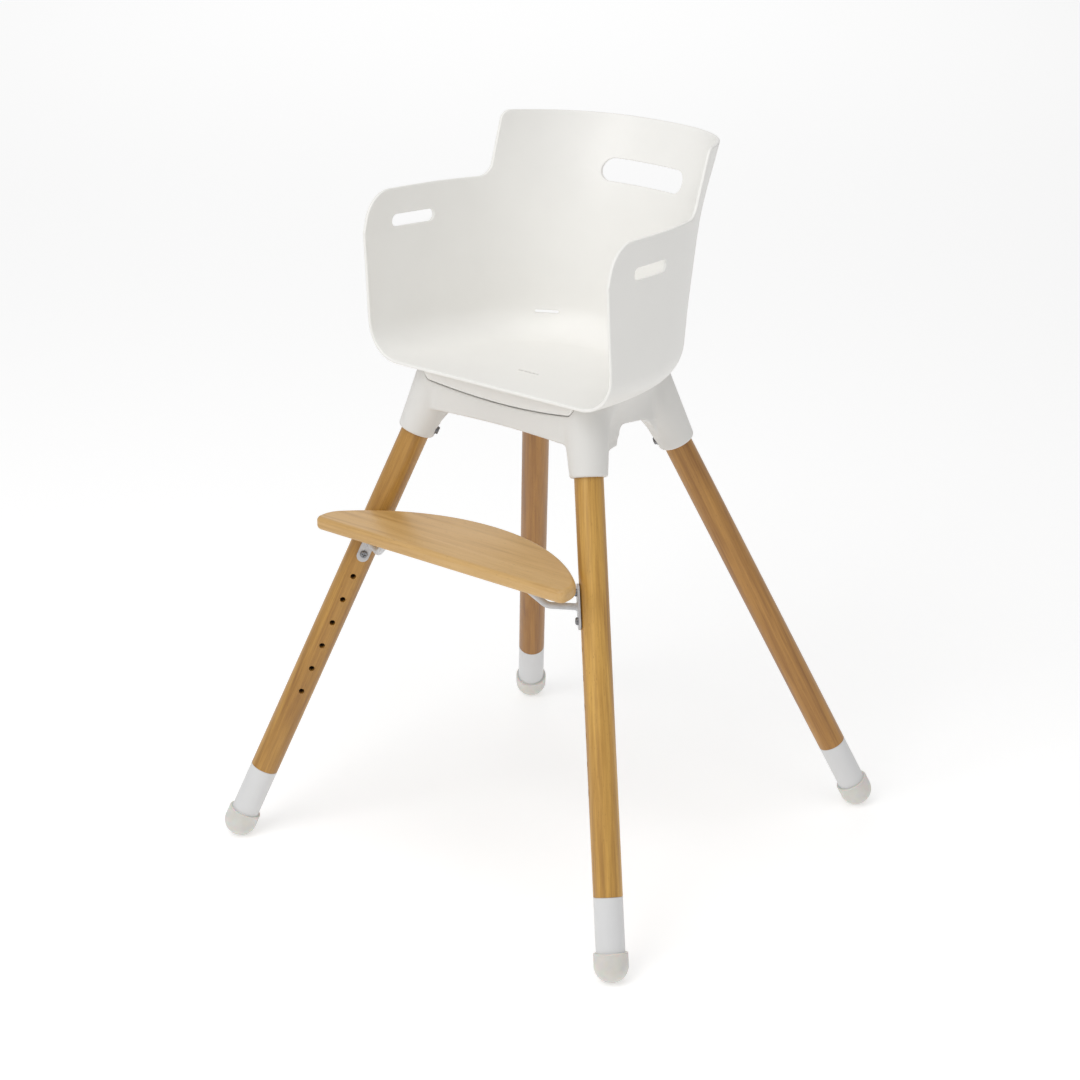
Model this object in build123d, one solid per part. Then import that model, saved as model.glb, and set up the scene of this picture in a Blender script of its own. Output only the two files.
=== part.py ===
from build123d import *
import math
import os

# Baby high chair: a one-piece plastic seat shell screwed to a moulded base frame with four
# leg sockets, four round beech legs with plastic end sleeves and soft foot caps, and a wooden
# footrest that is bolted to a row of holes in the two front legs.
# Millimetres, +Z up, front of the chair towards -Y, +X to the right of someone facing it.
# The origin is on the floor, in the middle between the feet.

# ---------------------------------------------------------------- driving dimensions
# Seat group: shell and base are drawn level, then leaned back together.
SEAT_HEIGHT = 614.0          # height of the middle of the seat pan above the floor
SEAT_LEAN = 4.5              # degrees that the seat group leans back

# Seat shell, in the level seat frame: pan top at z = 0
SHELL_WALL = 4.2
RIM_ROUNDING = 1.4           # rounding of both edges of the rim
SLOT_ROUNDING = 0.9          # rounding of the edges of the hand slots
SHELL_HALF_WIDTH = 182.4
SHELL_POWER = 2.47           # squareness of the plan curve
SHELL_FRONT = -156.5         # where the side walls are at their widest
SHELL_BACK_AT_PAN = 129.9    # back of the plan curve at BACK_REF height
BACK_REF = 86.0
BACK_LEAN = 0.123            # linear lean of the back wall
BACK_FLARE = 8.93            # extra lean, growing with the square of the height
PAN_CORNER = 45.0            # radius between pan and walls
ARM_TOP = 198.2
BACK_TOP = 274.0
BACK_HOLLOW = 5.5            # how far the back is drawn forward at shoulder level
BACK_HOLLOW_LEVEL = 195.0
BACK_HOLLOW_SPREAD = 45.0
HANDLE_WIDTH = 121.0
HANDLE_HEIGHT = 27.0
HANDLE_LEVEL = 209.5
ARM_SLOT_LENGTH = 69.0
ARM_SLOT_HEIGHT = 15.0
ARM_SLOT_LEVEL = 158.5
ARM_SLOT_MIDDLE = -77.0
STRAP_SLOT_LENGTH = 30.0
STRAP_SLOT_HEIGHT = 3.6

# Legs: axis points where a leg leaves its socket and where it meets the floor
LEG_RADIUS = 17.2
FRONT_TOP = (131.7, -115.5, 532.0)
FRONT_FLOOR = (299.7, -284.7, 0.0)
BACK_TOP_POINT = (109.1, 89.5, 513.8)
BACK_FLOOR = (274.5, 284.7, 0.0)
LEG_IN_SOCKET = 58.0
SLEEVE_LENGTH = 100.5
SPIGOT_RADIUS = 14.0
FIT = 0.05

# Foot caps
CAP_RADIUS = 20.4
CAP_HEIGHT = 36.5
CAP_FLAT = 0.5               # depth of the small flat that the chair stands on

# Base frame
SOCKET_LIP_RADIUS = 22.3
SOCKET_ROOT_RADIUS = 30.0
LIP_ROUNDING = 2.5
SOCKET_DEPTH = 62.0
BASE_WALL = 3.6
SKIRT_LOW = -56.0
SKIRT_HIGH = -31.0
DECK_TOP = -4.4

WEB_THICKNESS = 12.0
DRIVER_DEPTH = 30.0          # free height under each shell screw for its head and a driver

# Clamp bolts that hold the legs in the sockets
BOLT_TURN = math.radians(33.0)   # bolt direction, measured from the side-to-side line
BOLT_RISE = 11.0
BOLT_RADIUS = 3.0
BOLT_SEAT = 21.4
BOLT_HEAD_RADIUS = 4.8
BOLT_HEAD_HEIGHT = 3.0

WASHER_THICKNESS = 1.2
BARREL_RADIUS = 5.0
BARREL_LENGTH = 20.0
CAP_FLOOR = 16.0             # height along the axis of the inside of a foot cap

# Screws that hold the shell to the base
SHELL_SCREW_RADIUS = 2.5

# Footrest
BOARD_TOP = 439.0
BOARD_THICKNESS = 16.5
BOARD_FRONT = -229.5
BOARD_ARC_RADIUS = 253.0
BOARD_ARC_APEX = -117.0
BOARD_SHIFT = -7.5           # the board sits this far off the middle, within its slots
BOARD_END = 190.0            # half length
BOARD_END_CORNER = 32.0
BOARD_FRONT_CORNER = 9.0
BOARD_EDGE = 5.5

# Footrest fixings
HOLE_PITCH = 33.0
HOLE_ROWS = 8                # two in use, six free
HOLE_RADIUS = 3.5
HOLE_DEPTH = 15.0
INSERT_LENGTH = 9.0
PLATE_HEIGHT = 396.5         # height of the middle of the bracket's leg plate
PLATE_LENGTH = 54.0
PLATE_WIDTH = 15.0
PLATE_THICKNESS = 2.5
ROD_RADIUS = 4.1
SLIDE_TRAVEL = 57.2          # outward travel of a bracket under the board
BOARD_SCREW_X = 80.0
BOARD_SCREW_Y = (-207.0, -191.0)
BOARD_SCREW_RADIUS = 2.0
BOARD_SCREW_DEPTH = 12.0
FOOT_WIDTH = 31.0
FOOT_PAD = 23.0              # plain end of the slotted plate, where the rod is welded
ROD_KNEE = (129.5, -190.6)   # where the rod bends upwards, level with its leg plate
ROD_END = (101.0, -205.0)    # where the rod reaches the slotted plate
LEG_SCREW_RADIUS = 2.5
LEG_SCREW_HEAD = 4.6
CLEAR = 0.3

# Strap slots and fixing bosses of the shell
STRAP_X = 71.0
STRAP_Y = 60.0
STRAP_LEVEL = 30.0
CROTCH_Y = -62.0
BOSS_RADIUS = 8.0
BOSS_LENGTH = 12.0
INSERT_OUTER = 4.0
SHELL_INSERT_LENGTH = 8.0
BOSS_PLACES = ((-62.0, -72.0), (62.0, -72.0), (-52.0, 48.0), (52.0, 48.0))

SIDES = (("left", -1), ("right", 1))

os.makedirs("parts", exist_ok=True)


def save(name, shape):
    """Write one node."""
    export_step(shape, "parts/" + name + ".step")


def group(solids):
    """Several separate solids that share a node."""
    return Compound(children=list(solids))


def mirror_x(point, side):
    """A point given for the right-hand side, moved to the side asked for."""
    return Vector(side * point[0], point[1], point[2])


def turned(radius_low, radius_high, length):
    """A cone or cylinder standing on z = 0."""
    if abs(radius_low - radius_high) < 1e-6:
        return Cylinder(radius_low, length, align=(Align.CENTER, Align.CENTER, Align.MIN))
    return Cone(radius_low, radius_high, length, align=(Align.CENTER, Align.CENTER, Align.MIN))


def along(start, direction, solid):
    """Stand a solid, drawn from z = 0 up, at start and along direction."""
    return Plane(origin=start, z_dir=direction) * solid


seat_frame = Pos(0, 0, SEAT_HEIGHT) * Rot(-SEAT_LEAN, 0, 0)
level_frame = seat_frame.inverse()


def in_seat(point):
    """A floor-frame point in the level seat frame."""
    return (level_frame * Pos(*point)).position


def seat_direction(vector):
    """A floor-frame direction in the level seat frame."""
    return (in_seat(vector) - in_seat((0, 0, 0))).normalized()


# ---------------------------------------------------------------- seat shell
def back_of_plan(z):
    """How far back the plan curve of the shell reaches at height z."""
    rise = z - BACK_REF
    lean = BACK_LEAN * rise + BACK_FLARE * (rise / 100.0) ** 2
    hollow = BACK_HOLLOW * math.exp(-(((z - BACK_HOLLOW_LEVEL) / BACK_HOLLOW_SPREAD) ** 2))
    return SHELL_BACK_AT_PAN + lean - hollow


def plan_section(z, inset):
    """Closed horizontal section of the shell: a superellipse at the back, open to the front."""
    half = SHELL_HALF_WIDTH - inset
    depth = back_of_plan(z) - inset - SHELL_FRONT
    steps = 22
    curve = []
    for step in range(steps + 1):
        angle = math.pi * step / steps
        along_x = math.copysign(abs(math.cos(angle)) ** (2.0 / SHELL_POWER), math.cos(angle))
        along_y = abs(math.sin(angle)) ** (2.0 / SHELL_POWER)
        curve.append((half * along_x, SHELL_FRONT + depth * along_y, z))
    front = SHELL_FRONT - 30.0
    spline = Spline(*curve, tangents=((0, 1, 0), (0, -1, 0)))
    sides = Polyline(curve[-1], (-half, front, z), (half, front, z), curve[0])
    return Face(Wire([*spline.edges(), *sides.edges()]))


def corner_inset(z, bottom, radius):
    """How far the section is drawn in by the rounding between pan and walls."""
    if z >= bottom + radius:
        return 0.0
    height = bottom + radius - z
    return radius - math.sqrt(radius * radius - height * height)


def shell_body(bottom, wall, radius):
    """Solid bowl from z = bottom up past the back's top, drawn in by wall."""
    low = [bottom + radius * (1 - math.cos(math.radians(a))) for a in (8, 24, 40, 56, 72, 90)]
    high = [90.0, 130.0, 170.0, 210.0, 250.0, 290.0]
    sections = [plan_section(bottom, wall + radius)]
    sections += [plan_section(z, wall + corner_inset(z, bottom, radius)) for z in low + high]
    return loft(sections)


def side_profile():
    """Side view outline that trims the bowl into arms and a backrest."""
    top_front = (-160.0, 150.0)
    outline = Polyline(
        (-141.0, -20.0),
        (-143.5, 30.0),
        top_front,
        (-150.0, ARM_TOP),
        (37.0, ARM_TOP + 1.0),
        (58.0, BACK_TOP + 3.5),
        (200.0, BACK_TOP - 1.5),
        (200.0, -20.0),
        close=True,
    )
    face = make_face(outline)
    corners = face.vertices()

    def near(y, z):
        return min(corners, key=lambda v: math.hypot(v.X - y, v.Y - z))

    face = fillet(near(-150.0, ARM_TOP), 40.0)
    corners = face.vertices()
    face = fillet(near(37.0, ARM_TOP + 1.0), 20.0)
    corners = face.vertices()
    face = fillet(near(58.0, BACK_TOP + 3.5), 14.0)
    return face


def rounded_slot(width, height, depth):
    """A slot cutter with round ends, along X, cutting along Y."""
    return extrude(Plane.XZ * SlotOverall(width, height), depth, both=True)


def soften_rim(shell):
    """Round both edges of the rim that the side profile leaves."""
    outline = side_profile().face().outer_wire()

    def on_outline(edge):
        places = [edge.position_at(share) for share in (0.0, 0.5, 1.0)]
        return all(outline.distance_to(Vertex(p.Y, p.Z, 0)) < 0.05 for p in places)

    def runs_round_rim(edge):
        return abs(edge.tangent_at(0.5).X) < 0.9 or edge.length > 30.0

    rim = [edge for edge in shell.edges() if on_outline(edge) and runs_round_rim(edge)]
    return fillet(rim, RIM_ROUNDING)


def cut_soft_slot(shell, cutter, clear_of_wall):
    """Cut a hand slot and round the edges it leaves on the wall's two faces."""
    low = cutter.bounding_box().min
    high = cutter.bounding_box().max
    shell -= cutter

    def from_slot(edge):
        middle = edge.position_at(0.5)
        inside = all(low_end - 0.1 < value < high_end + 0.1 for low_end, value, high_end in (
            (low.X, middle.X, high.X), (low.Y, middle.Y, high.Y), (low.Z, middle.Z, high.Z)))
        return inside and edge.length > clear_of_wall

    return fillet(shell.edges().filter_by(from_slot), SLOT_ROUNDING)


def make_shell():
    """Seat shell in the level seat frame."""
    outside = shell_body(-SHELL_WALL, 0.0, PAN_CORNER)
    inside = shell_body(0.0, SHELL_WALL, PAN_CORNER - SHELL_WALL)
    trim = extrude(Plane.YZ * side_profile(), 260.0, both=True)
    shell = soften_rim((outside - inside) & trim)
    handle_place = Pos(0, back_of_plan(HANDLE_LEVEL), HANDLE_LEVEL)
    shell = cut_soft_slot(shell, handle_place * rounded_slot(HANDLE_WIDTH, HANDLE_HEIGHT, 60.0), 9.0)
    arm_slot = rounded_slot(ARM_SLOT_LENGTH, ARM_SLOT_HEIGHT, 260.0)
    shell = cut_soft_slot(shell, Pos(0, ARM_SLOT_MIDDLE, ARM_SLOT_LEVEL) * Rot(0, 0, 90) * arm_slot, 7.0)
    for side in (-1, 1):
        start = (side * STRAP_X, STRAP_Y, STRAP_LEVEL)
        outward = (side * 0.62, 0.785, 0.0)
        cutter = extrude(Plane(start, x_dir=(-side * 0.785, 0.62, 0), z_dir=outward)
                         * SlotOverall(STRAP_SLOT_LENGTH, STRAP_SLOT_HEIGHT), 60.0)
        shell -= cutter
    crotch = extrude(Pos(0, CROTCH_Y, 0) * SlotOverall(STRAP_SLOT_LENGTH, STRAP_SLOT_HEIGHT), 20.0, both=True)
    shell -= crotch
    boss = turned(BOSS_RADIUS, BOSS_RADIUS, BOSS_LENGTH)
    bore = turned(INSERT_OUTER, INSERT_OUTER, SHELL_INSERT_LENGTH + 0.5)
    for x, y in BOSS_PLACES:
        foot = -SHELL_WALL - BOSS_LENGTH
        shell += Pos(x, y, foot + 0.2) * boss
        shell -= Pos(x, y, foot) * bore
    return shell


# ---------------------------------------------------------------- leg axes
class LegAxis:
    """Straight axis of one leg, measured up from where it would meet the floor."""

    def __init__(self, name, top, floor):
        self.name = name
        self.floor = Vector(*floor)
        self.top = Vector(*top)
        self.up = (self.top - self.floor).normalized()
        self.length = (self.top - self.floor).length

    def at(self, distance):
        return self.floor + self.up * distance

    def at_height(self, z):
        return self.at(z / self.up.Z)


def leg_axes():
    """Four axes: front and back, left and right."""
    axes = []
    for end, top, floor in (("front", FRONT_TOP, FRONT_FLOOR), ("back", BACK_TOP_POINT, BACK_FLOOR)):
        for side_name, side in SIDES:
            axes.append(LegAxis(end + "_" + side_name, mirror_x(top, side), mirror_x(floor, side)))
    return axes


# ---------------------------------------------------------------- base frame
def skirt_outline(z, front, back, half_front, half_back):
    """Rounded four-sided outline of the base at height z, in the level seat frame."""
    corners = [(-half_front, front), (half_front, front), (half_back, back), (-half_back, back)]
    face = make_face(Polyline(*[(x, y, 0) for x, y in corners], close=True))
    return Pos(0, 0, z) * fillet(face.vertices(), 26.0).face()


def skirt(inset, low, middle, high):
    """Hollow-box body of the base: skirt below, slightly smaller neck under the shell."""
    lower = loft([
        skirt_outline(low, -113.0 + inset, 92.0 - inset, 128.0 - inset, 104.0 - inset),
        skirt_outline(middle, -108.0 + inset, 84.0 - inset, 121.0 - inset, 97.0 - inset),
    ])
    upper = loft([
        skirt_outline(middle, -100.0 + inset, 78.0 - inset, 121.0 - inset, 97.0 - inset),
        skirt_outline(high, -97.0 + inset, 70.0 - inset, 112.0 - inset, 90.0 - inset),
    ])
    return lower + upper


def side_web(side):
    """Web between the front and back sockets of one side, arched underneath."""
    outline = make_face(Polyline(
        (-96, -60), (-96, -84), (-84, -84), (-68, -69), (-58, -65), (-46, -64), (-42, -38),
        (-30, -36), (14, -44), (34, -52), (46, -61), (63, -77), (76, -86), (88, -86), (80, -33), (-96, -33),
        close=True,
    ))
    web = extrude(Plane.YZ * outline, WEB_THICKNESS / 2, both=True)
    return Pos(side * 109.0, 0, 0) * Rot(0, 0, side * 9.0) * web


def make_base(axes):
    """Moulded base in the level seat frame."""
    base = skirt(0.0, SKIRT_LOW, SKIRT_HIGH, DECK_TOP)
    hollow = skirt(BASE_WALL, SKIRT_LOW - 0.01, SKIRT_HIGH - BASE_WALL, DECK_TOP - BASE_WALL)
    base -= hollow
    arch = extrude(Plane.YZ * make_face(Polyline(
        (-42, -80), (-40, -39), (-30, -36), (14, -44), (34, -52), (44, -80), close=True)), 200.0, both=True)
    base -= arch
    lid_cut = Pos(0, 0, DECK_TOP) * Box(400, 400, 100, align=(Align.CENTER, Align.CENTER, Align.MIN))
    sockets = []
    bores = []
    for axis in axes:
        lip = in_seat(axis.top)
        up = seat_direction(axis.up)
        cone = turned(SOCKET_LIP_RADIUS, SOCKET_ROOT_RADIUS, 104.0)
        cone = fillet(cone.edges().sort_by(Axis.Z)[:1], LIP_ROUNDING)
        sockets.append(along(lip, up, cone))
        bores.append(along(lip - up * 5, up, turned(LEG_RADIUS + FIT, LEG_RADIUS + FIT, SOCKET_DEPTH + 5)))
        bores.append(along(lip + up * (SOCKET_DEPTH + 4), up, turned(15.0, 15.0, 14.0)))
    for socket in sockets:
        base += socket
    for side_name, side in SIDES:
        base += side_web(side)
    base -= lid_cut
    for bore in bores:
        base -= bore
    for axis in axes:
        base -= bolt_hole(axis)
    for x, y in BOSS_PLACES:
        well = turned(BOSS_RADIUS + 0.5, BOSS_RADIUS + 0.5, 20.0)
        floor_of_well = -SHELL_WALL - BOSS_LENGTH - CLEAR
        cup_height = DECK_TOP - floor_of_well + BASE_WALL
        cup = turned(BOSS_RADIUS + 4.0, BOSS_RADIUS + 4.0, cup_height)
        base += Pos(x, y, floor_of_well - BASE_WALL) * cup
        base -= Pos(x, y, floor_of_well) * well
        base -= Pos(x, y, floor_of_well - 10) * turned(SHELL_SCREW_RADIUS + 0.2, SHELL_SCREW_RADIUS + 0.2, 20)
        base -= Pos(x, y, floor_of_well - BASE_WALL - DRIVER_DEPTH) * turned(7.5, 7.5, DRIVER_DEPTH)
    return base


def bolt_line(axis):
    """Where the clamp bolt enters a socket and its direction towards the leg, level seat frame."""
    up = seat_direction(axis.up)
    lip = in_seat(axis.top)
    toward_middle = Vector(-math.copysign(math.cos(BOLT_TURN), lip.X), -math.copysign(math.sin(BOLT_TURN), lip.Y), 0)
    outward = (toward_middle - up * toward_middle.dot(up)).normalized()
    return lip + up * BOLT_RISE, outward


def bolt_hole(axis):
    """Clearance hole for the clamp bolt and a spot face for its head."""
    centre, outward = bolt_line(axis)
    hole = along(centre, outward, turned(BOLT_RADIUS + 0.2, BOLT_RADIUS + 0.2, 60.0))
    spot = along(centre + outward * BOLT_SEAT, outward, turned(7.0, 7.0, 12.0))
    return hole + spot


def pan_head(radius, height, recess):
    """Pan head, seat at z = 0, dome up, with a cross recess."""
    head = turned(radius, radius, height)
    head = fillet(head.edges().sort_by(Axis.Z)[-1:], height * 0.55)
    slot = Box(radius * 1.1, recess, height, align=(Align.CENTER, Align.CENTER, Align.MIN))
    cross = slot + Rot(0, 0, 90) * slot
    return head - Pos(0, 0, height * 0.45) * cross


def make_clamp_bolt(axis):
    """Bolt from the socket into the nut inside the leg."""
    centre, outward = bolt_line(axis)
    shank = turned(BOLT_RADIUS, BOLT_RADIUS, BOLT_SEAT + WASHER_THICKNESS + 7.0)
    socket_recess = extrude(RegularPolygon(2.2, 6), 10.0)
    head = turned(BOLT_HEAD_RADIUS, BOLT_HEAD_RADIUS, BOLT_HEAD_HEIGHT)
    head = fillet(head.edges().sort_by(Axis.Z)[-1:], 1.0) - Pos(0, 0, 1.2) * socket_recess
    bolt = Pos(0, 0, -6.0) * shank + Pos(0, 0, BOLT_SEAT + WASHER_THICKNESS) * head
    return along(centre, outward, bolt)


def make_clamp_washer(axis):
    """Washer under the clamp bolt's head."""
    centre, outward = bolt_line(axis)
    ring = turned(BOLT_HEAD_RADIUS + 1.2, BOLT_HEAD_RADIUS + 1.2, WASHER_THICKNESS)
    ring -= turned(BOLT_RADIUS + 0.2, BOLT_RADIUS + 0.2, WASHER_THICKNESS)
    return along(centre + outward * BOLT_SEAT, outward, ring)


def make_barrel_nut(axis):
    """Round cross nut inside the leg that the clamp bolt screws into."""
    centre, outward = bolt_line(axis)
    nut = turned(BARREL_RADIUS, BARREL_RADIUS, BARREL_LENGTH)
    nut = Pos(0, 0, -BARREL_LENGTH / 2) * nut
    across = outward.cross(seat_direction(axis.up))
    thread = along(centre - outward * 8, outward, turned(BOLT_RADIUS + FIT, BOLT_RADIUS + FIT, 20.0))
    return along(centre, across, nut) - thread


def bolt_cuts_in_leg(axis):
    """Cross hole for the barrel nut and clearance hole for the bolt, in the level seat frame."""
    centre, outward = bolt_line(axis)
    across = outward.cross(seat_direction(axis.up))
    length = BARREL_LENGTH + 0.4
    pocket = Pos(0, 0, -length / 2) * turned(BARREL_RADIUS + FIT, BARREL_RADIUS + FIT, length)
    bore = along(centre - outward * 7, outward, turned(BOLT_RADIUS + 0.2, BOLT_RADIUS + 0.2, 30.0))
    return along(centre, across, pocket) + bore


# ---------------------------------------------------------------- legs
def hole_frames(axis):
    """Frames on a front leg's surface, one per fixing hole, from the top down; z is outwards."""
    side = math.copysign(1.0, axis.floor.X)
    outward = Vector(-side, -1, 0).normalized()
    outward = (outward - axis.up * outward.dot(axis.up)).normalized()
    middle = axis.at_height(PLATE_HEIGHT + LEG_RADIUS * outward.Z)
    frames = []
    for row in range(HOLE_ROWS):
        drop = (row - 0.5) * HOLE_PITCH
        origin = middle - axis.up * drop + outward * LEG_RADIUS
        frames.append(Plane(origin, x_dir=axis.up, z_dir=outward))
    return frames


def make_leg(axis):
    """Turned leg with a spigot for its end sleeve."""
    wood_length = axis.length + LEG_IN_SOCKET - SLEEVE_LENGTH
    shaft = turned(LEG_RADIUS, LEG_RADIUS, wood_length)
    shaft = chamfer(shaft.edges().sort_by(Axis.Z)[-1:], 2.0)
    spigot = turned(SPIGOT_RADIUS, SPIGOT_RADIUS, SLEEVE_LENGTH - CAP_FLOOR)
    leg = along(axis.at(SLEEVE_LENGTH), axis.up, shaft) + along(axis.at(CAP_FLOOR), axis.up, spigot)
    leg -= seat_frame * bolt_cuts_in_leg(axis)
    if axis.name.startswith("front"):
        for frame in hole_frames(axis):
            leg -= frame * (Pos(0, 0, -HOLE_DEPTH) * turned(HOLE_RADIUS, HOLE_RADIUS, HOLE_DEPTH + 5))
    return leg


def make_leg_inserts(axis):
    """Threaded inserts set deep in the fixing holes of a front leg."""
    insert = turned(HOLE_RADIUS - 0.01, HOLE_RADIUS - 0.01, INSERT_LENGTH)
    insert -= turned(LEG_SCREW_RADIUS + FIT, LEG_SCREW_RADIUS + FIT, INSERT_LENGTH)
    return group([frame * (Pos(0, 0, 0.2 - HOLE_DEPTH) * insert) for frame in hole_frames(axis)])


def make_sleeve(axis):
    """Plastic sleeve over the lower end of a leg, flush with the wood."""
    length = SLEEVE_LENGTH - CAP_FLOOR - 0.2
    tube = turned(LEG_RADIUS, LEG_RADIUS, length)
    tube = chamfer(tube.edges().sort_by(Axis.Z)[-1:], 0.6)
    tube -= turned(SPIGOT_RADIUS + FIT, SPIGOT_RADIUS + FIT, length)
    return along(axis.at(CAP_FLOOR), axis.up, tube)


def make_foot_cap(axis):
    """Soft cup over the end of a leg, round underneath with a small flat to stand on."""
    middle = axis.at_height(CAP_RADIUS - CAP_FLAT)
    rise = (middle - axis.floor).length
    wall = turned(CAP_RADIUS, CAP_RADIUS, CAP_HEIGHT - rise)
    wall = fillet(wall.edges().sort_by(Axis.Z)[-1:], 1.1)
    cup = Pos(*middle) * Sphere(CAP_RADIUS) + along(middle, axis.up, wall)
    cup -= along(axis.at(CAP_FLOOR - 0.1), axis.up, turned(LEG_RADIUS + FIT, LEG_RADIUS + FIT, 80.0))
    under_floor = Pos(*axis.floor) * Box(120, 120, 60, align=(Align.CENTER, Align.CENTER, Align.MAX))
    return cup - under_floor


# ---------------------------------------------------------------- screws between base and shell
def make_shell_screw(x, y):
    """Screw from under the base into the boss of the shell."""
    seat = -SHELL_WALL - BOSS_LENGTH - CLEAR - BASE_WALL
    head = Rot(180, 0, 0) * pan_head(4.6, 3.0, 1.2)
    shank = turned(SHELL_SCREW_RADIUS, SHELL_SCREW_RADIUS, 12.0)
    return Pos(x, y, seat - WASHER_THICKNESS) * (head + shank)


def make_shell_washer(x, y):
    """Washer under the head of a shell screw."""
    seat = -SHELL_WALL - BOSS_LENGTH - CLEAR - BASE_WALL
    ring = turned(6.5, 6.5, WASHER_THICKNESS)
    ring -= turned(SHELL_SCREW_RADIUS + 0.2, SHELL_SCREW_RADIUS + 0.2, WASHER_THICKNESS)
    return Pos(x, y, seat - WASHER_THICKNESS) * ring


def make_shell_insert(x, y):
    """Threaded insert in a boss of the shell."""
    insert = turned(INSERT_OUTER - 0.01, INSERT_OUTER - 0.01, SHELL_INSERT_LENGTH)
    insert -= turned(SHELL_SCREW_RADIUS + FIT, SHELL_SCREW_RADIUS + FIT, SHELL_INSERT_LENGTH)
    return Pos(x, y, -SHELL_WALL - BOSS_LENGTH) * insert


# ---------------------------------------------------------------- footrest
def make_board():
    """Half-moon footrest board with rounded edges."""
    centre_y = BOARD_ARC_APEX - BOARD_ARC_RADIUS
    half_chord = math.sqrt(BOARD_ARC_RADIUS ** 2 - (BOARD_FRONT - centre_y) ** 2)
    arc = ThreePointArc((-half_chord, BOARD_FRONT), (0, BOARD_ARC_APEX), (half_chord, BOARD_FRONT))
    edge = Line((half_chord, BOARD_FRONT), (-half_chord, BOARD_FRONT))
    board = Pos(0, 0, BOARD_TOP) * extrude(make_face([arc, edge]), -BOARD_THICKNESS)
    board &= Box(2 * BOARD_END, 600, 2 * BOARD_TOP)
    uprights = board.edges().filter_by(Axis.Z).sort_by(Axis.Y)
    board = fillet(uprights[2:], BOARD_END_CORNER)
    uprights = board.edges().filter_by(Axis.Z).sort_by(Axis.Y)
    board = fillet(uprights[:2], BOARD_FRONT_CORNER)
    rims = board.faces().sort_by(Axis.Z)[-1].edges() + board.faces().sort_by(Axis.Z)[0].edges()
    board = fillet(rims, BOARD_EDGE)
    board = Pos(BOARD_SHIFT, 0, 0) * board
    for x, y in board_screw_places():
        pilot = turned(BOARD_SCREW_RADIUS + FIT, BOARD_SCREW_RADIUS + FIT, BOARD_SCREW_DEPTH + 1)
        board -= Pos(x, y, BOARD_TOP - BOARD_THICKNESS) * pilot
    return board


def board_screw_places():
    """Where the four screws enter the underside of the board."""
    return [(side * BOARD_SCREW_X + BOARD_SHIFT, y) for side_name, side in SIDES for y in BOARD_SCREW_Y]


def make_bracket(axis, side):
    """Steel bracket: plate on the leg, bent rod, slotted plate under the board."""
    upper = hole_frames(axis)[0]
    lower = hole_frames(axis)[1]
    outward = upper.z_dir
    centre = (upper.origin + lower.origin) * 0.5
    frame = Plane(centre + outward * CLEAR, x_dir=axis.up, z_dir=outward)
    plate = extrude(SlotOverall(PLATE_LENGTH, PLATE_WIDTH), PLATE_THICKNESS)
    for place in (-HOLE_PITCH / 2, HOLE_PITCH / 2):
        plate -= Pos(place, 0, 0) * turned(LEG_SCREW_RADIUS + 0.3, LEG_SCREW_RADIUS + 0.3, 5.0)
    plate = frame * plate
    foot_top = BOARD_TOP - BOARD_THICKNESS - CLEAR
    slack = abs(BOARD_SHIFT)
    slot_outer = BOARD_SCREW_X + slack
    slot_inner = BOARD_SCREW_X - SLIDE_TRAVEL - slack
    middle_x = (slot_outer + slot_inner) / 2
    middle_y = sum(BOARD_SCREW_Y) / 2
    foot_low = slot_inner - 9.0
    foot_high = slot_outer + FOOT_PAD
    foot = Pos(side * (foot_low + foot_high) / 2, middle_y, foot_top - PLATE_THICKNESS) * extrude(
        RectangleRounded(foot_high - foot_low, FOOT_WIDTH, 7.0), PLATE_THICKNESS)
    for y in BOARD_SCREW_Y:
        slot = extrude(SlotCenterToCenter(slot_outer - slot_inner, 2 * BOARD_SCREW_RADIUS + 0.8), 20.0, both=True)
        foot -= Pos(side * middle_x, y, foot_top) * slot
    start = centre + outward * (CLEAR + PLATE_THICKNESS * 0.6)
    knee = Vector(side * ROD_KNEE[0], ROD_KNEE[1], centre.Z)
    weld = Vector(side * ROD_END[0], ROD_END[1], foot_top)
    tip = weld + (weld - knee).normalized() * 8.0
    path = FilletPolyline(start, knee, tip, radius=16.0)
    section = Plane(origin=start, z_dir=knee - start) * Circle(ROD_RADIUS)
    rod = sweep(section, path=path)
    rod -= Pos(weld.X, weld.Y, foot_top - 0.6) * Box(80, 80, 40, align=(Align.CENTER, Align.CENTER, Align.MIN))
    collar = along(centre + outward * (CLEAR + PLATE_THICKNESS - 0.1), outward, turned(6.0, ROD_RADIUS, 2.5))
    return plate + rod + collar + foot


def make_leg_screws(axis):
    """Two screws that hold a bracket to its leg."""
    solids = []
    for frame in hole_frames(axis)[:2]:
        head = Pos(0, 0, CLEAR + PLATE_THICKNESS) * pan_head(LEG_SCREW_HEAD, 3.2, 1.3)
        shank = Pos(0, 0, 3.0 - HOLE_DEPTH) * turned(LEG_SCREW_RADIUS, LEG_SCREW_RADIUS, HOLE_DEPTH)
        solids.append(frame * (head + shank))
    return group(solids)


def make_board_screw(x, y):
    """Screw into the underside of the board, its head below the bracket's slotted plate."""
    seat = BOARD_TOP - BOARD_THICKNESS - PLATE_THICKNESS - 2 * CLEAR - WASHER_THICKNESS
    head = Rot(180, 0, 0) * pan_head(4.4, 2.8, 1.2)
    shank = turned(BOARD_SCREW_RADIUS, BOARD_SCREW_RADIUS,
                   BOARD_SCREW_DEPTH + PLATE_THICKNESS + 2 * CLEAR + WASHER_THICKNESS)
    return Pos(x, y, seat) * (head + shank)


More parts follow.
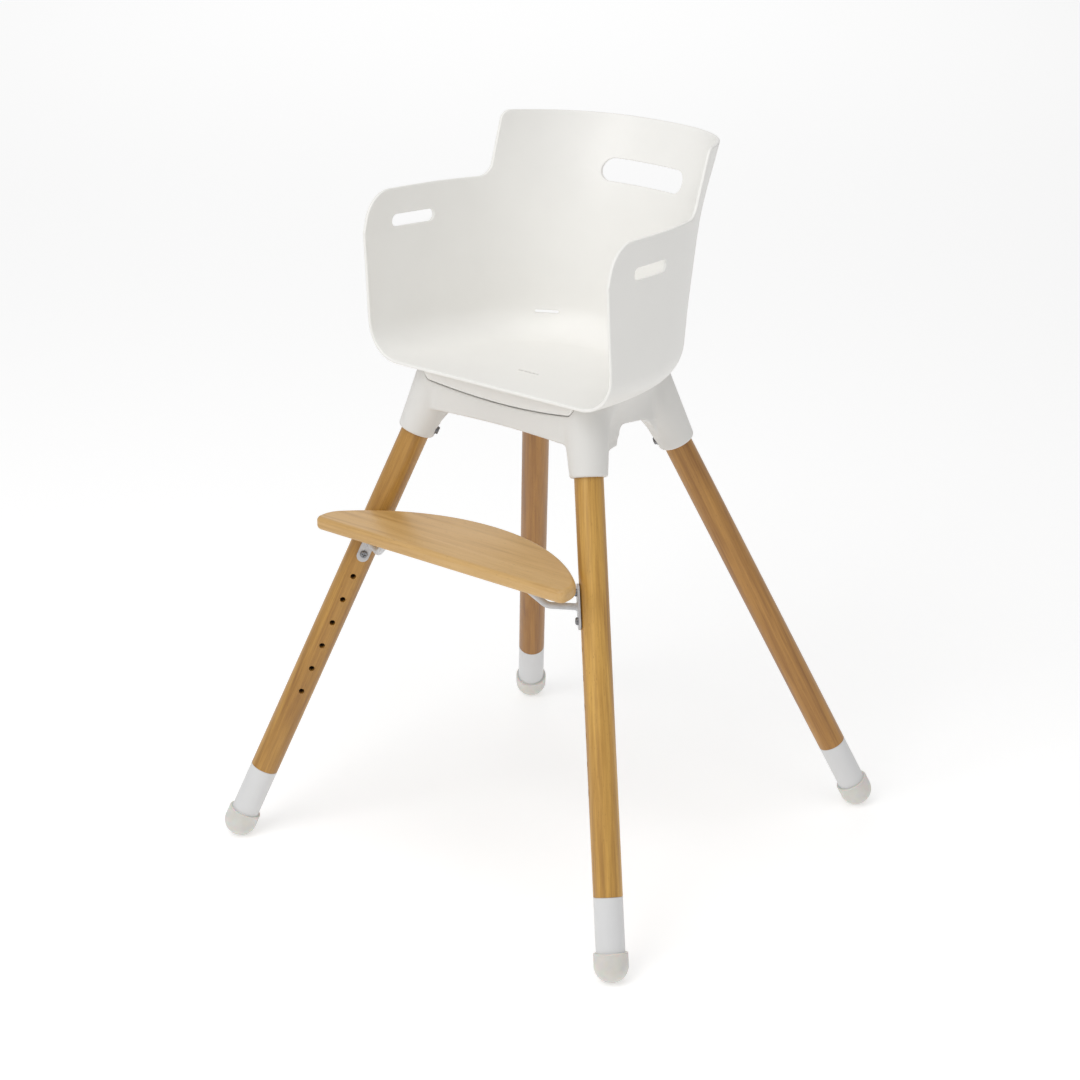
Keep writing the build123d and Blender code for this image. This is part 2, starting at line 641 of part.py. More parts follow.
def make_board_washer(x, y):
    """Washer between a board screw's head and the slotted plate."""
    seat = BOARD_TOP - BOARD_THICKNESS - PLATE_THICKNESS - 2 * CLEAR - WASHER_THICKNESS
    ring = turned(6.2, 6.2, WASHER_THICKNESS)
    ring -= turned(BOARD_SCREW_RADIUS + 0.2, BOARD_SCREW_RADIUS + 0.2, WASHER_THICKNESS)
    return Pos(x, y, seat) * ring


# ---------------------------------------------------------------- assembly
axes = leg_axes()
save("seat_shell", seat_frame * make_shell())
save("base_frame", seat_frame * make_base(axes))
save("shell_screws", seat_frame * group(make_shell_screw(x, y) for x, y in BOSS_PLACES))
save("shell_screw_washers", seat_frame * group(make_shell_washer(x, y) for x, y in BOSS_PLACES))
save("shell_inserts", seat_frame * group(make_shell_insert(x, y) for x, y in BOSS_PLACES))
save("clamp_bolts", seat_frame * group(make_clamp_bolt(axis) for axis in axes))
save("clamp_washers", seat_frame * group(make_clamp_washer(axis) for axis in axes))
save("barrel_nuts", seat_frame * group(make_barrel_nut(axis) for axis in axes))

for axis in axes:
    save("leg_" + axis.name, make_leg(axis))
    save("leg_sleeve_" + axis.name, make_sleeve(axis))
    save("foot_cap_" + axis.name, make_foot_cap(axis))

save("footrest_board", make_board())
save("board_screws", group(make_board_screw(x, y) for x, y in board_screw_places()))
save("board_screw_washers", group(make_board_washer(x, y) for x, y in board_screw_places()))
for (side_name, side), axis in zip(SIDES, axes[:2]):
    save("leg_inserts_" + side_name, make_leg_inserts(axis))
    save("footrest_bracket_" + side_name, make_bracket(axis, side))
    save("bracket_screws_" + side_name, make_leg_screws(axis))
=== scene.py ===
import math

import bpy
import numpy as np
from mathutils import Matrix, Vector


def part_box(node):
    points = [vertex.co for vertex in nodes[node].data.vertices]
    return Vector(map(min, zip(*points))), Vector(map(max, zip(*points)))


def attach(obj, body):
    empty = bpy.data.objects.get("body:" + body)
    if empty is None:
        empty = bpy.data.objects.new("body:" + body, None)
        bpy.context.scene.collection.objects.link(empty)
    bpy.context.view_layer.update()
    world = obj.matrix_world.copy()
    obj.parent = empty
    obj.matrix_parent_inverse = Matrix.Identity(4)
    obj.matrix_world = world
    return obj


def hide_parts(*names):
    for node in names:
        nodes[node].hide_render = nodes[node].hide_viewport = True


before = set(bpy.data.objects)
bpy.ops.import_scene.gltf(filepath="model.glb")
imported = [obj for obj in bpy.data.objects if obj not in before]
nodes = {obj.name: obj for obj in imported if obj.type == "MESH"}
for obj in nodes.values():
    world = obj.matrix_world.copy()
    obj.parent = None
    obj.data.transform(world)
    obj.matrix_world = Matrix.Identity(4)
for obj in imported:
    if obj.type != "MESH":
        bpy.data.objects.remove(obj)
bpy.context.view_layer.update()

scene = bpy.context.scene

# ---------------------------------------------------------------- colours (linear)
SHELL_WHITE = (0.855, 0.845, 0.815, 1.0)
BASE_WHITE = (0.74, 0.728, 0.70, 1.0)
SLEEVE_WHITE = (0.70, 0.70, 0.70, 1.0)
CAP_WHITE = (0.68, 0.66, 0.62, 1.0)
BRACKET_GREY = (0.60, 0.60, 0.61, 1.0)
ZINC = (0.24, 0.24, 0.25, 1.0)
BRASS = (0.13, 0.09, 0.04, 1.0)
WOOD_LIGHT = (0.58, 0.350, 0.098, 1.0)
WOOD_MIDDLE = (0.43, 0.240, 0.060, 1.0)
WOOD_DARK = (0.28, 0.138, 0.032, 1.0)
# Painted light and shade on each leg: shares of the three colours above, per channel, that lighten the front
# right leg where the key light falls and darken the other legs, the back left one most, where they stand in
# shade
LEG_PAINTED_LIGHT_SHARES = {
    "front_left": (0.94, 0.85, 0.66), "front_right": (1.14, 1.09, 0.86),
    "back_left": (0.77, 0.62, 0.46), "back_right": (0.92, 0.78, 0.59),
}
BOARD_LIGHT = (0.64, 0.41, 0.165, 1.0)
BOARD_MIDDLE = (0.59, 0.36, 0.130, 1.0)
BOARD_DARK = (0.45, 0.255, 0.078, 1.0)

# Sizes across and along the grain, m: broad figure, streaks, thin lines and flecks
GRAIN_SIZES = ((0.016, 0.30), (0.0035, 0.11), (0.0011, 0.03), (0.0008, 0.0055))
GRAIN_STEP = 0.173           # m along the grain between one piece of wood and the next


# ---------------------------------------------------------------- shader helpers
class Shader:
    """A Principled material and the few node types that this scene needs."""

    def __init__(self, name):
        self.material = bpy.data.materials.new(name)
        self.material.use_nodes = True
        self.tree = self.material.node_tree
        self.surface = self.tree.nodes["Principled BSDF"]
        self.coordinates = self.tree.nodes.new("ShaderNodeTexCoord").outputs["Object"]

    def link(self, output, target):
        self.tree.links.new(output, target)

    def connect(self, colour, roughness, normal):
        for key, output in (("Base Color", colour), ("Roughness", roughness), ("Normal", normal)):
            self.link(output, self.surface.inputs[key])

    def set(self, **values):
        for key, value in values.items():
            self.surface.inputs[key.replace("_", " ")].default_value = value

    def stretched(self, centre, direction, size):
        """Coordinates along a direction (as Z), divided by a size per axis."""
        node = self.tree.nodes.new("ShaderNodeMapping")
        node.vector_type = "TEXTURE"
        node.inputs["Location"].default_value = centre
        node.inputs["Rotation"].default_value = Vector(direction).to_track_quat("Z", "Y").to_euler()
        node.inputs["Scale"].default_value = size
        self.link(self.coordinates, node.inputs["Vector"])
        return node.outputs["Vector"]

    def noise(self, vector, scale, detail=2.0, roughness=0.5, distortion=0.0):
        node = self.tree.nodes.new("ShaderNodeTexNoise")
        node.inputs["Scale"].default_value = scale
        node.inputs["Detail"].default_value = detail
        node.inputs["Roughness"].default_value = roughness
        node.inputs["Distortion"].default_value = distortion
        self.link(vector, node.inputs["Vector"])
        return node.outputs["Fac"]

    def span(self, value, low, high, to_low=0.0, to_high=1.0):
        node = self.tree.nodes.new("ShaderNodeMapRange")
        for key, number in (("From Min", low), ("From Max", high), ("To Min", to_low), ("To Max", to_high)):
            node.inputs[key].default_value = number
        self.link(value, node.inputs["Value"])
        return node.outputs["Result"]

    def math(self, operation, first, second):
        node = self.tree.nodes.new("ShaderNodeMath")
        node.operation = operation
        for socket, value in zip(node.inputs, (first, second)):
            if isinstance(value, float):
                socket.default_value = value
            else:
                self.link(value, socket)
        return node.outputs["Value"]

    def ramp(self, value, *stops):
        node = self.tree.nodes.new("ShaderNodeValToRGB")
        elements = node.color_ramp.elements
        while len(elements) < len(stops):
            elements.new(0.5)
        for element, (place, colour) in zip(elements, stops):
            element.position = place
            element.color = colour
        self.link(value, node.inputs["Fac"])
        return node.outputs["Color"]

    def mix(self, factor, first, second):
        node = self.tree.nodes.new("ShaderNodeMix")
        node.data_type = "RGBA"
        for socket, value in ((node.inputs[0], factor), (node.inputs[6], first), (node.inputs[7], second)):
            if isinstance(value, (float, tuple)):
                socket.default_value = value
            else:
                self.link(value, socket)
        return node.outputs[2]

    def bump(self, height, strength, distance, under=None):
        node = self.tree.nodes.new("ShaderNodeBump")
        node.inputs["Strength"].default_value = strength
        node.inputs["Distance"].default_value = distance
        self.link(height, node.inputs["Height"])
        if under is not None:
            self.link(under, node.inputs["Normal"])
        return node.outputs["Normal"]


def shaded(colour, share):
    """A colour made darker, with its alpha left at 1."""
    return tuple(channel * share for channel in colour[:3]) + (1.0,)


def plastic(name, colour, roughness):
    """Moulded plastic: fine spark texture, faint flow marks and uneven gloss."""
    shader = Shader(name)
    shader.set(IOR=1.47)
    flow = shader.noise(shader.coordinates, 9.0, 3.0, 0.55)
    fine = shader.noise(shader.coordinates, 1400.0, 2.0, 0.6)
    wave = shader.noise(shader.coordinates, 60.0, 1.0)
    mottled = shader.mix(shader.span(flow, 0.3, 0.7), shaded(colour, 0.97), colour)
    gloss = shader.span(flow, 0.25, 0.75, roughness - 0.05, roughness + 0.06)
    ripples = shader.bump(wave, 0.12, 0.0006)
    grain = shader.bump(fine, 0.25, 0.00012, ripples)
    shader.connect(mottled, gloss, grain)
    return shader.material


def wood(name, centre, direction, light, middle, dark, seed):
    """Lacquered beech: long streaks, thin grain lines and short dark flecks along the grain."""
    shader = Shader(name)
    shader.set(IOR=1.5, Coat_Weight=0.22, Coat_Roughness=0.3)
    offset = Vector(centre) + Vector(direction) * (GRAIN_STEP * seed)
    broad, streaks, lines, specks = [
        shader.stretched(offset, direction, (across, across, along)) for across, along in GRAIN_SIZES]
    figure = shader.noise(broad, 1.0, 4.0, 0.55, 0.9)
    streak = shader.noise(streaks, 1.0, 3.0, 0.6, 0.3)
    line = shader.noise(lines, 1.0, 2.0, 0.6)
    fleck = shader.noise(specks, 1.0, 1.0)
    tone = shader.math("ADD", shader.math("MULTIPLY", figure, 0.62), shader.math("MULTIPLY", streak, 0.38))
    colour = shader.ramp(tone, (0.34, dark), (0.48, middle), (0.64, light))
    colour = shader.mix(shader.span(line, 0.35, 0.8, 0.0, 0.30), colour, dark)
    colour = shader.mix(shader.span(fleck, 0.66, 0.80, 0.0, 0.55), colour, shaded(dark, 0.62))
    gloss = shader.span(streak, 0.3, 0.7, 0.38, 0.5)
    pores = shader.math("SUBTRACT", line, shader.span(fleck, 0.62, 0.8))
    shader.connect(colour, gloss, shader.bump(pores, 0.25, 0.0002))
    return shader.material


def metal(name, colour, roughness, metallic):
    """Bare or painted metal with fine wear."""
    shader = Shader(name)
    shader.set(Metallic=metallic)
    cloud = shader.noise(shader.coordinates, 120.0, 4.0, 0.6)
    fine = shader.noise(shader.coordinates, 1600.0, 2.0)
    worn = shader.mix(shader.span(cloud, 0.35, 0.7), colour, shaded(colour, 0.86))
    gloss = shader.span(cloud, 0.3, 0.7, roughness - 0.06, roughness + 0.08)
    shader.connect(worn, gloss, shader.bump(fine, 0.2, 0.00008))
    return shader.material


def rubber(name, colour):
    """Soft, slightly see-through rubber."""
    shader = Shader(name)
    shader.set(Roughness=0.42, IOR=1.45, Subsurface_Weight=0.35, Subsurface_Scale=0.006)
    cloud = shader.noise(shader.coordinates, 70.0, 3.0)
    clouded = shader.mix(shader.span(cloud, 0.3, 0.7), shaded(colour, 0.93), colour)
    shader.link(clouded, shader.surface.inputs["Base Color"])
    shader.link(shader.bump(cloud, 0.2, 0.0004), shader.surface.inputs["Normal"])
    return shader.material


def paint(obj, material):
    obj.data.materials.clear()
    obj.data.materials.append(material)


# ---------------------------------------------------------------- materials on the CAD nodes
CORNERS = ("front_left", "front_right", "back_left", "back_right")
LEG_RADIUS = 0.0172          # m, half the width of a leg's end in its box


def leg_ends(corner):
    """Middle of a leg's upper end and of its lower end, from its box."""
    low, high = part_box("leg_" + corner)
    side = 1 if corner.endswith("right") else -1
    end = -1 if corner.startswith("front") else 1
    top_x = low.x + LEG_RADIUS if side > 0 else high.x - LEG_RADIUS
    top_y = high.y - LEG_RADIUS if end < 0 else low.y + LEG_RADIUS
    foot_x = high.x - LEG_RADIUS if side > 0 else low.x + LEG_RADIUS
    foot_y = low.y + LEG_RADIUS if end < 0 else high.y - LEG_RADIUS
    return Vector((top_x, top_y, high.z)), Vector((foot_x, foot_y, low.z))


shell_white = plastic("shell_plastic", SHELL_WHITE, 0.42)
base_white = plastic("base_plastic", BASE_WHITE, 0.46)
sleeve_white = plastic("sleeve_plastic", SLEEVE_WHITE, 0.40)
cap_white = rubber("cap_rubber", CAP_WHITE)
painted_steel = metal("bracket_paint", BRACKET_GREY, 0.42, 0.0)
zinc = metal("zinc", ZINC, 0.33, 1.0)
brass = metal("brass", BRASS, 0.36, 1.0)

paint(nodes["seat_shell"], shell_white)
paint(nodes["base_frame"], base_white)
for number, corner in enumerate(CORNERS):
    top, foot = leg_ends(corner)
    # Each leg's wood colours carry painted light and shade: lighter where the lamps fall on the leg, darker
    # where it stands in shade
    painted_light_tones = [tuple(a * b for a, b in zip(LEG_PAINTED_LIGHT_SHARES[corner], tone)) + (1.0,)
             for tone in (WOOD_LIGHT, WOOD_MIDDLE, WOOD_DARK)]
    grain = wood("beech_" + corner, foot, (top - foot).normalized(), *painted_light_tones, number)
    paint(nodes["leg_" + corner], grain)
    paint(nodes["leg_sleeve_" + corner], sleeve_white)
    paint(nodes["foot_cap_" + corner], cap_white)
board_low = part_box("footrest_board")[0]
board_grain = wood("beech_board", board_low, (1.0, 0.0, 0.0), BOARD_LIGHT, BOARD_MIDDLE, BOARD_DARK, 5)
paint(nodes["footrest_board"], board_grain)
for side in ("left", "right"):
    paint(nodes["footrest_bracket_" + side], painted_steel)
    paint(nodes["bracket_screws_" + side], zinc)
    paint(nodes["leg_inserts_" + side], brass)
paint(nodes["shell_inserts"], brass)
for name in ("shell_screws", "shell_screw_washers", "clamp_bolts", "clamp_washers", "barrel_nuts",
             "board_screws", "board_screw_washers"):
    paint(nodes[name], zinc)

# ---------------------------------------------------------------- moulded base
# Lengths in mm in the seat's own frame, which leans back. The left half mirrors the right half.
SEAT_HEIGHT = 614.0          # the seat frame's origin above the floor
SEAT_LEAN = math.radians(4.5)
VOXEL = 1.25
WALL = 3.6

SKIRT_LOW = -56.0
SKIRT_HALF_WIDTH = 115.0     # at the lower edge, where y is 0
SKIRT_TAPER = 0.158          # narrower towards the back
FLARE_HALF_WIDTH = 144.0     # at the upper edge, in front of FLARE_TAPER_START
FLARE_TAPER = 0.30
FLARE_TAPER_START = -62.0
FLARE_LOW = -52.0
FLARE_RISE = 47.0
SKIRT_BACK = 92.0            # at the lower edge
BACK_LEAN = 0.27
CORNER_NORMAL = (0.743, -0.669)
CORNER_REACH = 156.0         # from the origin to the plane across each front corner

FRONT_REACH = 111.0          # front wall at mid width
FRONT_BOW = 7.0              # how much further forward it is at FRONT_BOW_SPAN
FRONT_BOW_SPAN = 90.0
FRONT_BOW_END = 108.0
FRONT_EASE_START = 112.0

DECK = -4.4                  # flat underside of the shell
SHELL_CORNER = 45.0          # radius from there up to the shell's walls
SHELL_HALF_WIDTH = 182.4
SHELL_FRONT = -156.5
SHELL_LENGTH = 286.4
SHELL_POWER = 2.47           # of the superellipse that is the shell's outline
RIM_LOW = -31.0              # front rim at mid width
RIM_BOW = 9.6                # how much higher it is at RIM_HALF_WIDTH
RIM_HALF_WIDTH = 105.0
RIM_TURN = 104.0             # where it turns up to the shell
RIM_BACK = -95.0
APRON_BACK = -96.0
APRON_GAP = 0.9

ARCH_MIDDLE = -3.0
ARCH_HALF_LENGTH = 39.0
ARCH_TOP = -43.5             # where y is ARCH_SLOPE_START
ARCH_SLOPE = 0.13
ARCH_SLOPE_START = -30.0
ARCH_INNER = 60.0
WEB_HALF_WIDTH = 109.0
WEB_HALF_THICKNESS = 6.0
WEB_OUTLINE = [(-96.0, -60.0), (-96.0, -84.0), (-84.0, -86.0), (-68.0, -73.0), (-58.0, -69.0), (-43.0, -68.0),
               (-39.0, -46.0), (-30.0, -42.0), (14.0, -48.0), (34.0, -55.0), (46.0, -64.0), (63.0, -80.0),
               (76.0, -88.0), (88.0, -86.0), (80.0, -20.0), (-96.0, -20.0)]

CONE_LIPS = {"front": (131.7, -108.7, -90.8), "back": (109.1, 97.1, -92.3)}
LIP_RADIUS = 22.3
CONE_SLOPE = (30.0 - 22.3) / 104.0
FAN_START = 12.0             # the front sockets' fan up to the skirt, above the lip
FAN_RADIUS = 19.3
FAN_LEAN = (0.02, -0.30, 0.0)
BORE_RADIUS = 18.2
BORE_DEPTH = 62.0
BOLT_TURN = math.radians(33.0)
BOLT_HEIGHT = 11.0           # clamp bolt above the lip
BOLT_FACE = 21.2             # flat under its washer, from the socket's axis
BOLT_FACE_RADIUS = 7.0

CUP_PLACES = ((62.0, -72.0), (52.0, 48.0))
CUP_RADIUS = 12.0
CUP_LOW = -20.2
CUP_FLOOR = 3.6
CUP_BORE = 8.5
DRIVER_BORE = 7.5
SCREW_HOLE = 2.7


def seat_to_floor(points):
    """Points in the leaning seat frame, mm, to the floor frame, metres."""
    x, y, z = points.T
    c, s = math.cos(SEAT_LEAN), math.sin(SEAT_LEAN)
    return np.stack([x, y * c + z * s, SEAT_HEIGHT - y * s + z * c], 1) / 1000.0


def seat_vector(vector):
    """A floor-frame direction in the seat frame."""
    x, y, z = vector
    c, s = math.cos(SEAT_LEAN), math.sin(SEAT_LEAN)
    return np.array([x, y * c - z * s, y * s + z * c])


def blend_union(a, b, width):
    """Union of two fields with a soft join."""
    near = np.maximum(width - np.abs(a - b), 0.0) / width
    return np.minimum(a, b) - near * near * width * 0.25


def round_both(a, b, radius):
    """Intersection of two fields with a rounded edge."""
    u, v = a + radius, b + radius
    return np.minimum(np.maximum(u, v), 0.0) + np.hypot(np.maximum(u, 0.0), np.maximum(v, 0.0)) - radius


def polygon_field(points, y, z):
    """Signed distance to a polygon in the side plane."""
    distance = np.full(np.broadcast(y, z).shape, 1e9, np.float32)
    inside = np.ones(distance.shape, np.float32)
    for (y0, z0), (y1, z1) in zip(points, points[-1:] + points[:-1]):
        ey, ez = y1 - y0, z1 - z0
        wy, wz = y - y0, z - z0
        share = np.clip((wy * ey + wz * ez) / (ey * ey + ez * ez), 0.0, 1.0)
        distance = np.minimum(distance, np.hypot(wy - share * ey, wz - share * ez))
        above, below = z >= z0, z < z1
        left = ey * wz > ez * wy
        inside = np.where((above & below & left) | (~above & ~below & ~left), -inside, inside)
    return distance * inside


def cylinder_field(x, y, z, start, direction, radius, slope=0.0):
    """Side field and distance along the axis of a cylinder or cone."""
    dx, dy, dz = x - start[0], y - start[1], z - start[2]
    along = dx * direction[0] + dy * direction[1] + dz * direction[2]
    radial = np.sqrt(np.maximum(dx * dx + dy * dy + dz * dz - along * along, 0.0))
    return radial - radius - slope * along, along


def rim_height(x):
    """Height of the base's front rim: a shallow bow that turns up to the shell at both ends."""
    side = np.abs(x)
    bow = RIM_LOW + RIM_BOW * (side / RIM_HALF_WIDTH) ** 2
    return np.minimum(bow + 0.10 * np.maximum(side - RIM_TURN, 0.0) ** 2, DECK)


def front_face(x):
    """How far forward the front wall stands: hollow in the middle and eased at the corners."""
    side = np.abs(x)
    bow = FRONT_BOW * (np.minimum(side, FRONT_BOW_END) / FRONT_BOW_SPAN) ** 2
    return FRONT_REACH + bow - 0.012 * np.maximum(side - FRONT_EASE_START, 0.0) ** 2


def surface_mesh(name, field, origin):
    """Mesh of a field's zero surface: one vertex per crossed voxel, one quad per crossed edge."""
    inside = field < 0
    corners = [(i, j, k) for i in (0, 1) for j in (0, 1) for k in (0, 1)]
    rows, columns, layers = (length - 1 for length in inside.shape)
    count = sum(inside[i:rows + i, j:columns + j, k:layers + k].astype(np.int8) for i, j, k in corners)
    cells = np.argwhere((count > 0) & (count < 8))
    number = np.full(count.shape, -1, np.int32)
    number[tuple(cells.T)] = np.arange(len(cells))
    total = np.zeros((len(cells), 3))
    crossings = np.zeros(len(cells))
    values = {c: field[tuple((cells + c).T)] for c in corners}
    for a in corners:
        for axis in range(3):
            if a[axis]:
                continue
            b = tuple(v + (n == axis) for n, v in enumerate(a))
            crossed = (values[a] < 0) != (values[b] < 0)
            share = np.where(crossed, values[a] / np.where(crossed, values[a] - values[b], 1.0), 0.0)
            place = np.array(a, float) + np.eye(3)[axis] * share[:, None]
            total += place * crossed[:, None]
            crossings += crossed
    points = (cells + total / crossings[:, None]) * VOXEL + origin
    quads = []
    for axis in range(3):
        low = [slice(1, -1)] * 3
        low[axis] = slice(0, -1)
        high = list(low)
        high[axis] = slice(1, None)
        a, b = inside[tuple(low)], inside[tuple(high)]
        edges = np.argwhere(a != b) + [0 if n == axis else 1 for n in range(3)]
        leaving = inside[tuple(edges.T)]
        u, v = np.eye(3, dtype=int)[(axis + 1) % 3], np.eye(3, dtype=int)[(axis + 2) % 3]
        ring = np.stack([number[tuple((edges - d).T)] for d in (u + v, v, 0 * u, u)], 1)
        quads.append(np.where(leaving[:, None], ring, ring[:, ::-1]))
    mesh = bpy.data.meshes.new(name)
    mesh.from_pydata(seat_to_floor(points).tolist(), [], np.concatenate(quads).tolist())
    mesh.polygons.foreach_set("use_smooth", [True] * len(mesh.polygons))
    obj = bpy.data.objects.new(name, mesh)
    scene.collection.objects.link(obj)
    return obj


def grid(low, high):
    """Three broadcast coordinate arrays, mm, in the seat frame."""
    spans = [np.arange(a, b + VOXEL, VOXEL, dtype=np.float32) for a, b in zip(low, high)]
    return spans[0][:, None, None], spans[1][None, :, None], spans[2][None, None, :]


def shell_underside(side, y):
    """Height of the shell's outer face over the base: flat, then rounded up towards its walls."""
    across = side / SHELL_HALF_WIDTH
    back = np.maximum(y - SHELL_FRONT, 0.0) / SHELL_LENGTH
    share = np.maximum(across ** SHELL_POWER + back ** SHELL_POWER, 1e-6) ** (1.0 / SHELL_POWER)
    power = SHELL_POWER - 1.0
    slope = share ** -power * np.hypot(across ** power / SHELL_HALF_WIDTH, back ** power / SHELL_LENGTH)
    inward = np.clip((1.0 - share) / np.maximum(slope, 1e-6), 0.0, SHELL_CORNER)
    return DECK + SHELL_CORNER - np.sqrt(SHELL_CORNER ** 2 - (SHELL_CORNER - inward) ** 2)


def skirt_field(x, y, z):
    """Hollow skirt: flared sides, bowed front, leaning back, and an arch cut in each side."""
    side = np.abs(x)
    low_width = SKIRT_HALF_WIDTH - SKIRT_TAPER * y
    high_width = FLARE_HALF_WIDTH - FLARE_TAPER * np.maximum(y - FLARE_TAPER_START, 0.0)
    flare = np.clip((z - FLARE_LOW) / FLARE_RISE, 0.0, 1.0) ** 1.5
    walls = 0.92 * (side - low_width - (high_width - low_width) * flare)
    front = -y - front_face(x) - 1.2
    back = y - SKIRT_BACK + BACK_LEAN * (z - SKIRT_LOW)
    corner = CORNER_NORMAL[0] * side + CORNER_NORMAL[1] * y - CORNER_REACH
    plan = -blend_union(blend_union(blend_union(-walls, -front, 8.0), -corner, 10.0), -back, 30.0)
    skirt = round_both(plan, SKIRT_LOW - z, 1.5)
    ceiling = np.where(y < RIM_BACK + WALL, rim_height(x), DECK)
    skirt = np.maximum(skirt, -np.maximum(plan + WALL, z - ceiling + WALL))
    arch_top = ARCH_TOP - ARCH_SLOPE * (y - ARCH_SLOPE_START)
    arch = round_both(np.abs(y - ARCH_MIDDLE) - ARCH_HALF_LENGTH, z - arch_top, 9.0)
    return np.maximum(skirt, -np.maximum(arch, ARCH_INNER - side))


def web_field(side, y, z):
    """Thick rib along the lower edge of a side, deep at both sockets."""
    from_middle = np.abs(side - WEB_HALF_WIDTH + SKIRT_TAPER * y)
    return round_both(polygon_field(WEB_OUTLINE, y, z), from_middle - WEB_HALF_THICKNESS, 2.0)


def add_socket(body, side, y, z, lip, up, bolt):
    """Join a leg socket to the body, and give its bore and the flat for its clamp bolt."""
    cone, along = cylinder_field(side, y, z, lip, up, LIP_RADIUS, CONE_SLOPE)
    body = blend_union(body, round_both(cone, -along, 2.5), 5.0)
    if up[1] < 0:
        fan_up = up + np.array(FAN_LEAN)
        fan_up /= np.linalg.norm(fan_up)
        fan, along = cylinder_field(side, y, z, lip + up * FAN_START, fan_up, FAN_RADIUS, CONE_SLOPE)
        body = blend_union(body, round_both(fan, -along, 2.5), 3.0)
    bore, depth = cylinder_field(side, y, z, lip, up, BORE_RADIUS)
    flat, reach = cylinder_field(side, y, z, lip + up * BOLT_HEIGHT, bolt, BOLT_FACE_RADIUS)
    return body, [np.maximum(bore, depth - BORE_DEPTH), np.maximum(flat, BOLT_FACE - reach)]


def add_cup(body, side, y, z, place):
    """Join a screw cup that hangs from the deck, and give its recess, its driver's way in and its hole."""
    cup, _ = cylinder_field(side, y, z, (*place, 0.0), (0.0, 0.0, 1.0), CUP_RADIUS)
    body = blend_union(body, np.maximum(cup, CUP_LOW - z), 2.0)
    recess = np.maximum(cup + CUP_RADIUS - CUP_BORE, CUP_LOW + CUP_FLOOR - z)
    driver_way = np.maximum(cup + CUP_RADIUS - DRIVER_BORE, z - CUP_LOW)
    return body, [recess, driver_way, cup + CUP_RADIUS - SCREW_HOLE]


def base_field(x, y, z, axes):
    """The whole moulding, cut off above the front rim and at the shell."""
    side = np.abs(x)
    body = blend_union(skirt_field(x, y, z), web_field(side, y, z), 4.0)
    cuts = []
    for axis in axes:
        body, holes = add_socket(body, side, y, z, *axis)
        cuts += holes
    for place in CUP_PLACES:
        body, holes = add_cup(body, side, y, z, place)
        cuts += holes
    for cut in cuts:
        body = np.maximum(body, -cut)
    above_rim = np.maximum(y - RIM_BACK, rim_height(x) - z)
    return np.maximum(np.maximum(body, -above_rim), z - shell_underside(side, y))


def socket_axes():
    """Lip point, axis and bolt direction of the two right-hand sockets, in the seat frame."""
    axes = []
    for end, turn in (("front", 1.0), ("back", -1.0)):
        top, foot = leg_ends(end + "_right")
        up = seat_vector((top - foot).normalized())
        bolt = np.array([-math.cos(BOLT_TURN), turn * math.sin(BOLT_TURN), 0.0])
        bolt -= up * bolt.dot(up)
        axes.append((np.array(CONE_LIPS[end]), up, bolt / np.linalg.norm(bolt)))
    return axes


def make_base():
    low, high = np.array([-158.75, -141.0, -116.0]), np.array([158.75, 120.0, 4.0])
    x, y, z = grid(low, high)
    base = surface_mesh("base_moulding", base_field(x, y, z, socket_axes()), low)
    paint(base, base_white)
    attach(base, "frame")
    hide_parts("base_frame")


def make_apron():
    """The front of the shell's underside, which closes the step above the rim."""
    low, high = np.array([-150.0, -133.0, -36.0]), np.array([150.0, -88.0, 0.0])
    x, y, z = grid(low, high)
    front = round_both(-y - front_face(x), rim_height(x) + APRON_GAP - z, 1.6)
    field = np.maximum(np.maximum(front, y - APRON_BACK), z - DECK - 0.1) + 0.0 * x
    apron = surface_mesh("shell_apron", field, low)
    paint(apron, shell_white)
    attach(apron, "frame")


make_base()
make_apron()

# ---------------------------------------------------------------- floor, light and camera
FLOOR_RADIUS = 14.0          # m
FLOOR_SIDES = 64
FLOOR_WHITE = (0.82, 0.82, 0.82, 1.0)
FLOOR_GLOW = 0.36
STUDIO_GLOW = 0.49
CHAIR_MIDDLE = (0.0, 0.0, 0.55)


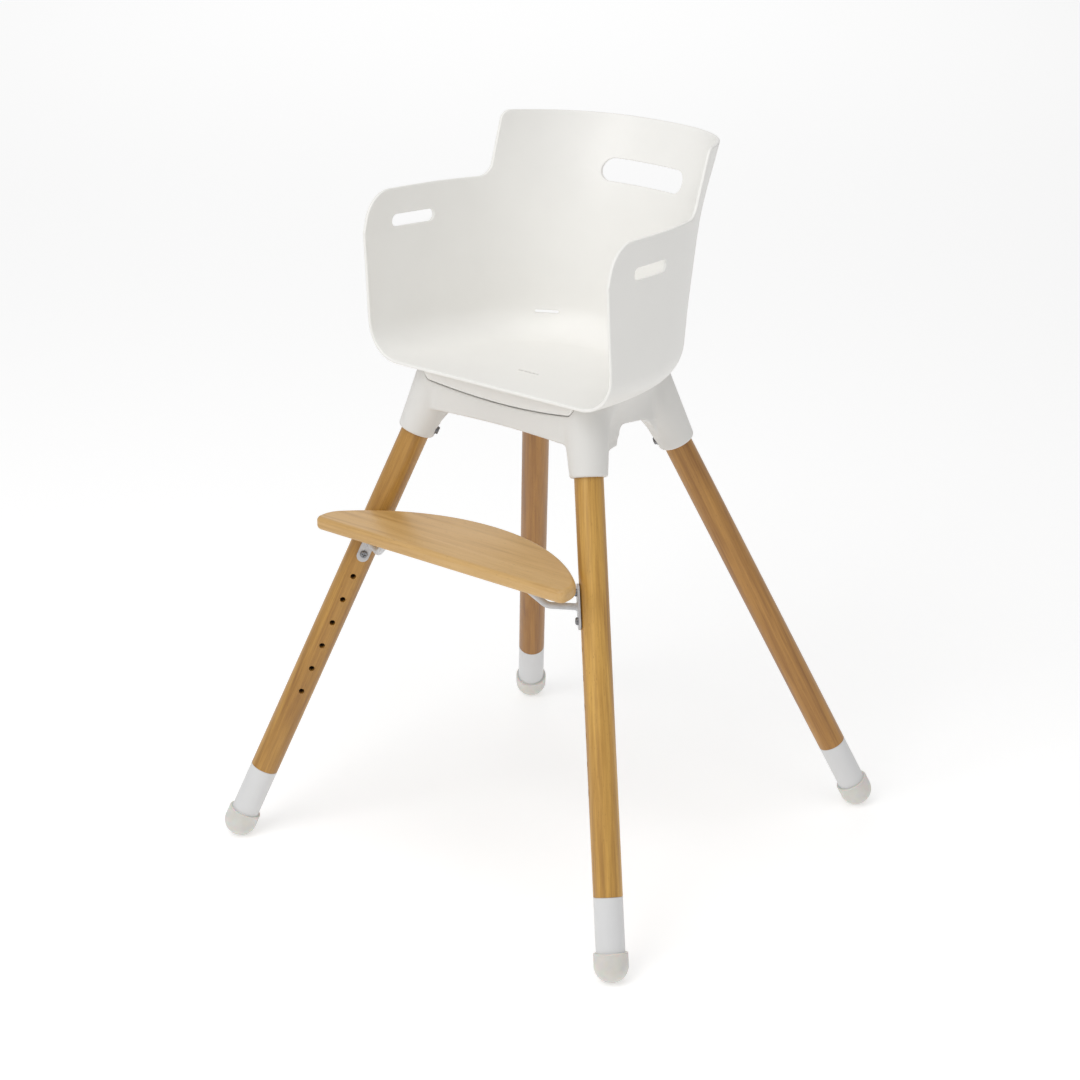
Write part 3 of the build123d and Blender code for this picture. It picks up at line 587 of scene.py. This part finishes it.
def make_floor():
    """A pale disc that glows a little, so that it meets the bright studio without a line."""
    mesh = bpy.data.meshes.new("floor")
    ring = [(FLOOR_RADIUS * math.cos(a), FLOOR_RADIUS * math.sin(a), 0.0)
            for a in np.linspace(0, 2 * math.pi, FLOOR_SIDES + 1)[:-1]]
    mesh.from_pydata(ring, [], [tuple(range(FLOOR_SIDES))])
    floor = bpy.data.objects.new("floor", mesh)
    scene.collection.objects.link(floor)
    shader = Shader("floor_paint")
    shader.set(Base_Color=FLOOR_WHITE, Roughness=0.9,
               Emission_Color=(1.0, 1.0, 1.0, 1.0), Emission_Strength=FLOOR_GLOW)
    mesh.materials.append(shader.material)


def softbox(name, place, target, size, power):
    light = bpy.data.lights.new(name, "AREA")
    light.shape = "SQUARE"
    light.size = size
    light.energy = power
    lamp = bpy.data.objects.new(name, light)
    lamp.location = place
    lamp.rotation_euler = (Vector(target) - Vector(place)).to_track_quat("-Z", "Y").to_euler()
    scene.collection.objects.link(lamp)


make_floor()
world = bpy.data.worlds.new("studio")
scene.world = world
world.use_nodes = True
background = world.node_tree.nodes["Background"]
background.inputs["Color"].default_value = (1.0, 1.0, 1.0, 1.0)
background.inputs["Strength"].default_value = STUDIO_GLOW
softbox("key", (-0.2, -2.7, 2.7), CHAIR_MIDDLE, 2.2, 37.0)
softbox("top", (0.6, -0.7, 3.3), (0.0, 0.0, 0.5), 2.5, 26.0)
softbox("backdrop", (-3.6, 4.2, 3.2), (-3.2, 3.8, 0.0), 3.0, 33.0)
scene.view_settings.view_transform = "Standard"

# The camera stands in front of the chair, towards +X, and looks down on the seat
EYE = (2.0527, -2.6263, 1.7213)
RIGHT = Vector((0.783193, 0.621779, 0.000183))
UP = Vector((-0.231435, 0.291242, 0.928233))
FORWARD = Vector((-0.577102, 0.727027, -0.372000))
camera = bpy.data.cameras.new("camera")
camera.lens = 97.384
camera.sensor_width = 36.0
camera.clip_end = 60.0
eye = bpy.data.objects.new("camera", camera)
eye.matrix_world = Matrix.Translation(EYE) @ Matrix((RIGHT, UP, -FORWARD)).transposed().to_4x4()
scene.collection.objects.link(eye)
scene.camera = eye
